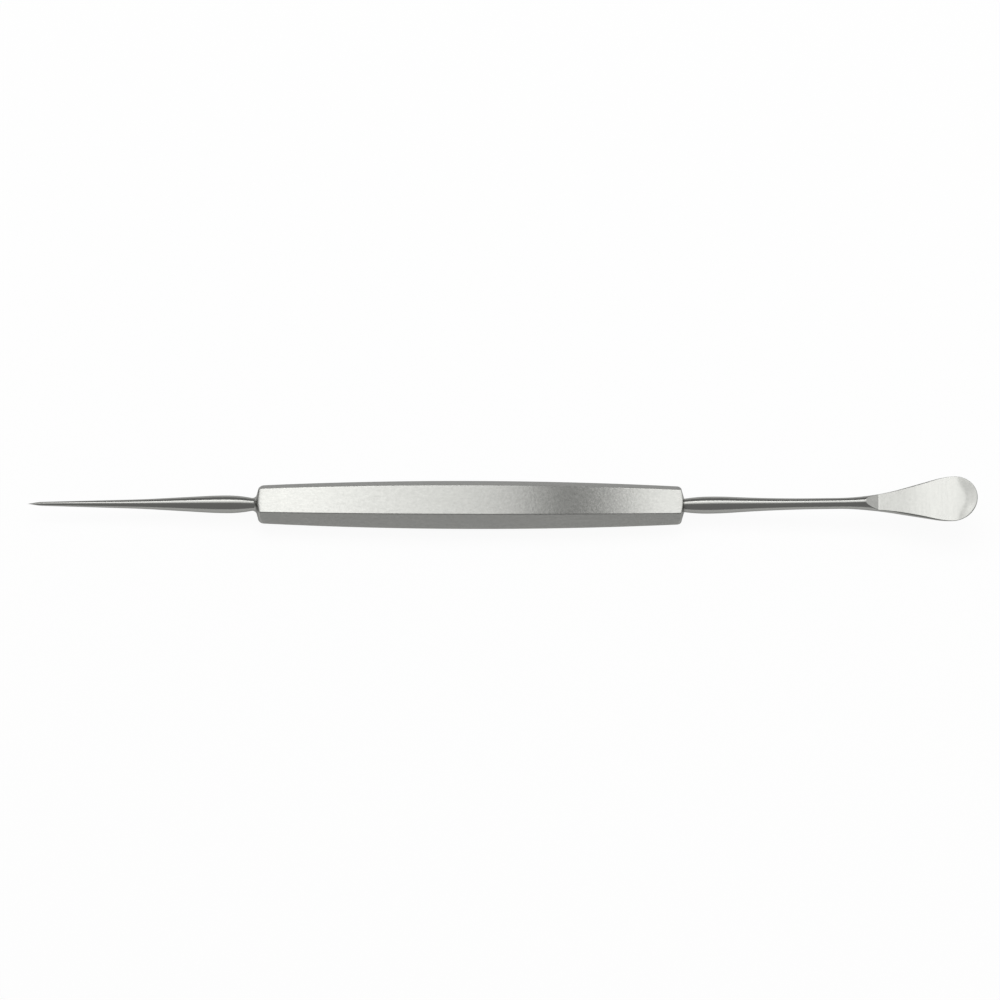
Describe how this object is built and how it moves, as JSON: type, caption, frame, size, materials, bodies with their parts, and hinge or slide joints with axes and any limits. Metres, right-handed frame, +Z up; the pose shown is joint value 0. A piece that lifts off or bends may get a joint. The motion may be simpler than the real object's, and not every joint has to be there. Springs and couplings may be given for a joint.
{
  "type": "ophthalmic spoon and needle",
  "caption": "Double-ended eye instrument in one piece of satin steel: a sharp needle, a bowed six-sided handle and a small ground spoon blade on a round shaft.",
  "frame": {"origin": "middle of the lower wide flat of the handle, the face that the instrument rests on", "axes": "+X along the instrument towards the spoon, +Z up as it lies"},
  "size_m": [0.127, 0.0068, 0.0058],
  "materials": {
    "steel": "satin, brushed along the handle and across the blade"
  },
  "bodies": {
    "root": {"spoon_and_needle": "steel"}
  },
  "joints": []
}
